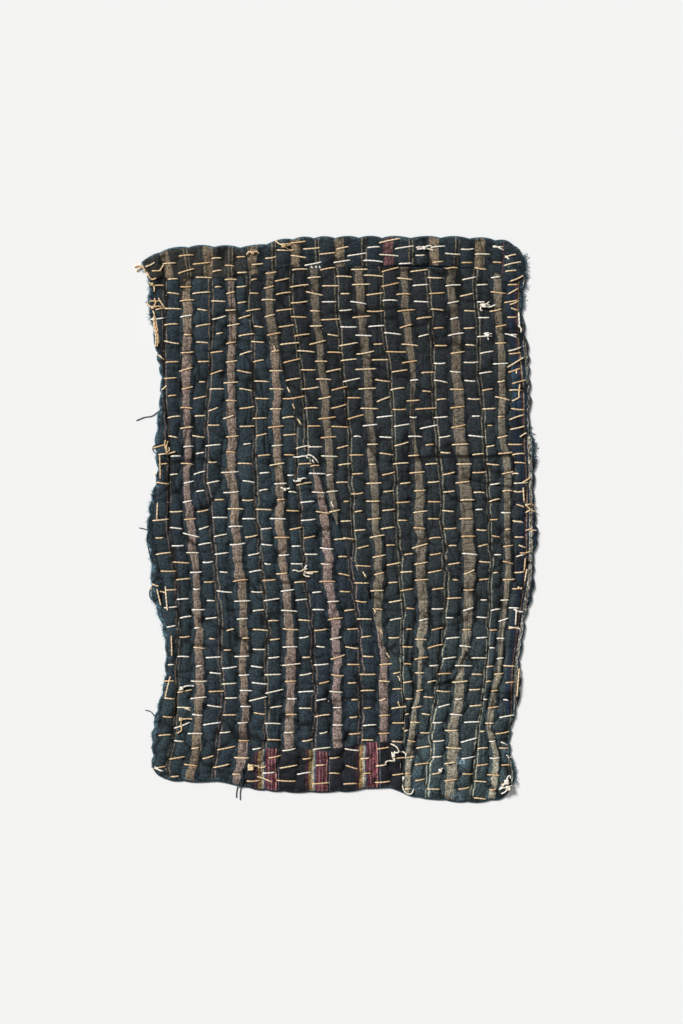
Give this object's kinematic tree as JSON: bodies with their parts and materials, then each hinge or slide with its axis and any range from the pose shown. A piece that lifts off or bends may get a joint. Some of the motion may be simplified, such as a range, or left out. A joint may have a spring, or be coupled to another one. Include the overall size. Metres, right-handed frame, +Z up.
{
  "type": "boro patched cloth",
  "caption": "flat quilted rag of patched striped indigo cotton, sewn through with rows of running stitches, for covering, wrapping or display",
  "frame": {"origin": "middle of the flat underside of the cloth, under the centre of its bounding box", "axes": "+X to the right across the cloth, +Y to the end with the dark band, +Z up from the underside to the stitched face"},
  "size_m": [0.3558, 0.5086, 0.0054],
  "materials": {
    "backing_cotton": "worn plain weave cotton, dyed indigo",
    "left_striped_cotton": "plain weave indigo cotton with wide pinkish-brown stripes and twin thin lines",
    "right_striped_cotton": "plain weave grey-indigo cotton with wide olive-grey stripes and twin thin lines",
    "band_cotton": "near-black plain weave cotton with brown stripes",
    "edge_cotton": "navy plain weave cotton with a cream and black melange stripe",
    "patch_cotton": "near-black plain weave cotton with burgundy, gold and cream stripes",
    "tan_thread": "unbleached tan cotton sewing thread",
    "white_thread": "white cotton sewing thread",
    "loose_yarn": "loose and frayed indigo cotton yarn"
  },
  "bodies": {
    "root": {"backing_cloth": "backing_cotton", "left_cloth": "left_striped_cotton", "right_cloth": "right_striped_cotton", "top_band": "band_cotton", "right_edge_strip": "edge_cotton", "bottom_patch": "patch_cotton"}
  },
  "joints": []
}
